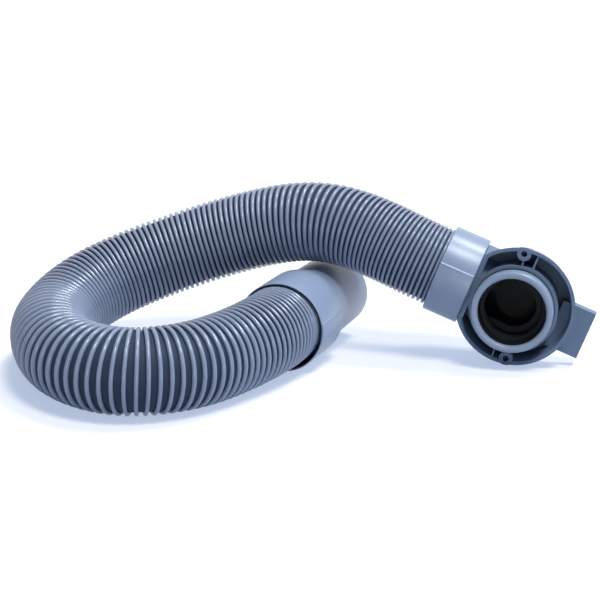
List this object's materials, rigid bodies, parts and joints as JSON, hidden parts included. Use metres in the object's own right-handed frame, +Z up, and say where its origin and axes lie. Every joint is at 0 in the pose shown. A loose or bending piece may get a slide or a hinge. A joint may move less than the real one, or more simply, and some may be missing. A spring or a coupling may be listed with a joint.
{
  "type": "vacuum cleaner hose",
  "caption": "Grey stretch hose lying in a bend, with a plain cuff on its free end and an elbow housing with an outlet nozzle on the other.",
  "frame": {"origin": "middle of the bounding box's bottom face, on the surface that the hose lies on", "axes": "+X from the bend towards the elbow, +Y away from the outlet nozzle, +Z up"},
  "size_m": [0.2929, 0.1784, 0.0853],
  "materials": {
    "hose_film": "glossy soft plastic film over a wound bead",
    "cuff_plastic": "satin moulded",
    "housing_plastic": "fine matt moulded",
    "nozzle_plastic": "satin moulded"
  },
  "bodies": {
    "root": {"hose": "hose_film", "free_end_cuff": "cuff_plastic", "elbow_cuff": "cuff_plastic", "elbow_housing": "housing_plastic", "outlet_nozzle": "nozzle_plastic"}
  },
  "joints": []
}
